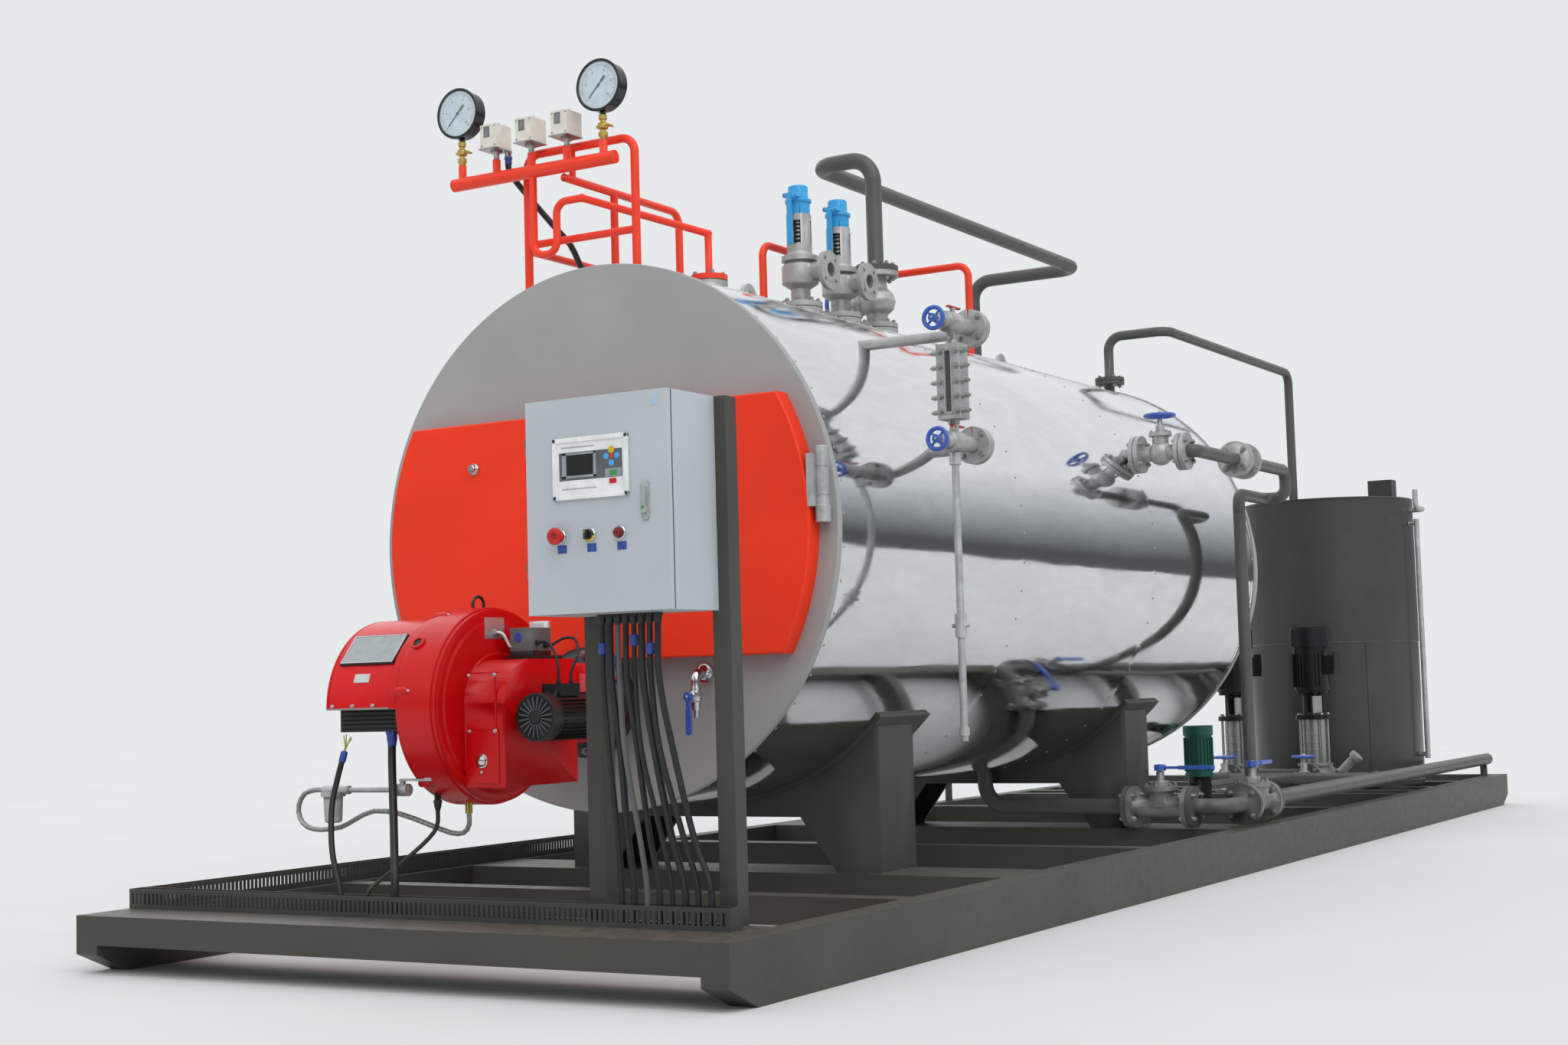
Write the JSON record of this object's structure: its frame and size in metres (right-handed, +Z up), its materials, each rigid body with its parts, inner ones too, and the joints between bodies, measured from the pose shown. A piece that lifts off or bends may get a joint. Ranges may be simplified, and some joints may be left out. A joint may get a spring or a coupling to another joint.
{
  "type": "skid-mounted horizontal fire-tube steam boiler",
  "caption": "Horizontal steam boiler on a steel skid, with burner, control cabinet, gauges, safety valves, level gauge, feed pumps, feed tank and blowdown piping.",
  "frame": {"origin": "on the ground under the middle of the skid", "axes": "+Y from the burner end to the tank end, +X to the side with the level gauge, +Z up"},
  "size_m": [2.134, 7.83, 2.7171],
  "materials": {
    "brass": "satin",
    "burner_red": "gloss",
    "cabinet_paint": "satin",
    "cable_rubber": "matte",
    "cap_blue": "satin",
    "control_black": "matte",
    "gauge_black": "gloss",
    "head_paint": "satin",
    "hose_braid": "satin",
    "ivory_plastic": "satin",
    "motor_black": "satin",
    "orange_paint": "gloss",
    "panel_plastic": "satin",
    "pipe_paint": "satin",
    "polished_cladding": "polished",
    "pump_steel": "satin",
    "skid_paint": "satin",
    "tank_paint": "satin",
    "teal_paint": "satin",
    "tray_paint": "satin",
    "valve_metal": "painted grey",
    "wheel_blue": "satin"
  },
  "bodies": {
    "skid_and_boiler": {"left_rail": "skid_paint", "right_rail": "skid_paint", "cross_beams": "skid_paint", "cable_trays": "tray_paint", "front_saddle": "skid_paint", "rear_saddle": "skid_paint", "clad_shell": "polished_cladding", "front_head": "head_paint", "rear_smokebox": "head_paint", "front_door": "orange_paint", "header_frame": "orange_paint", "gauge_header": "orange_paint", "pressure_gauges": "gauge_black", "gauge_cocks": "brass", "pressure_switches": "ivory_plastic", "pipe_guard": "orange_paint", "safety_valves": "valve_metal", "safety_caps": "cap_blue", "steam_stop_valve": "valve_metal", "steam_riser": "pipe_paint", "steam_main": "pipe_paint", "steam_drop": "pipe_paint", "level_gauge": "valve_metal", "gauge_valves": "valve_metal", "gauge_drain": "valve_metal", "feed_valve": "valve_metal", "feed_pipe": "pipe_paint", "feed_riser": "pipe_paint", "vent_riser": "pipe_paint", "vent_pipe": "pipe_paint", "feed_tank": "tank_paint", "tank_lid": "tank_paint", "tank_fittings": "pipe_paint", "feed_pumps": "pump_steel", "pump_motors": "motor_black", "transfer_pump": "teal_paint", "pump_pipes": "pipe_paint", "blowdown_valves": "valve_metal", "blowdown_pipes": "pipe_paint", "burner_housing": "burner_red", "burner_hood": "burner_red", "burner_motor": "motor_black", "burner_controls": "control_black", "fuel_filter": "valve_metal", "cabinet_box": "cabinet_paint", "cabinet_stand": "skid_paint", "head_drain": "valve_metal", "cabinet_cables": "cable_rubber", "burner_cables": "cable_rubber", "header_cable": "cable_rubber", "fuel_hoses": "hose_braid"},
    "cabinet_door_body": {"cabinet_door": "cabinet_paint", "control_panel": "panel_plastic"},
    "feed_wheel_body": {"feed_wheel": "wheel_blue"},
    "upper_gauge_wheel_body": {"upper_gauge_wheel": "wheel_blue"},
    "lower_gauge_wheel_body": {"lower_gauge_wheel": "wheel_blue"},
    "drain_lever_body": {"drain_lever": "wheel_blue"},
    "quick_lever_body": {"quick_lever": "wheel_blue"},
    "slow_lever_body": {"slow_lever": "wheel_blue"}
  },
  "joints": [
    {"name": "cabinet_door_hinge", "type": "hinge", "parent": "skid_and_boiler", "child": "cabinet_door_body", "pos_m": [0.478, -3.8562, 1.013], "axis": [0, 0, -1], "range_deg": [0, 110]},
    {"name": "feed_wheel_spin", "type": "hinge", "parent": "skid_and_boiler", "child": "feed_wheel_body", "pos_m": [0.858, -0.515, 1.7], "axis": [0, 0, 1], "continuous": true},
    {"name": "upper_gauge_wheel_spin", "type": "hinge", "parent": "skid_and_boiler", "child": "upper_gauge_wheel_body", "pos_m": [0.95, -2.547, 1.785], "axis": [0, -1, 0], "continuous": true},
    {"name": "lower_gauge_wheel_spin", "type": "hinge", "parent": "skid_and_boiler", "child": "lower_gauge_wheel_body", "pos_m": [0.95, -2.547, 1.433], "axis": [0, -1, 0], "continuous": true},
    {"name": "drain_lever_turn", "type": "hinge", "parent": "skid_and_boiler", "child": "drain_lever_body", "pos_m": [0.365, -2.995, 0.714], "axis": [0, 1, 0], "range_deg": [0, 90]},
    {"name": "quick_lever_turn", "type": "hinge", "parent": "skid_and_boiler", "child": "quick_lever_body", "pos_m": [0.73, -0.325, 0.3905], "axis": [0, 0, -1], "range_deg": [0, 90]},
    {"name": "slow_lever_turn", "type": "hinge", "parent": "skid_and_boiler", "child": "slow_lever_body", "pos_m": [0.987, -0.025, 0.3905], "axis": [0, 0, 1], "range_deg": [0, 90]}
  ]
}
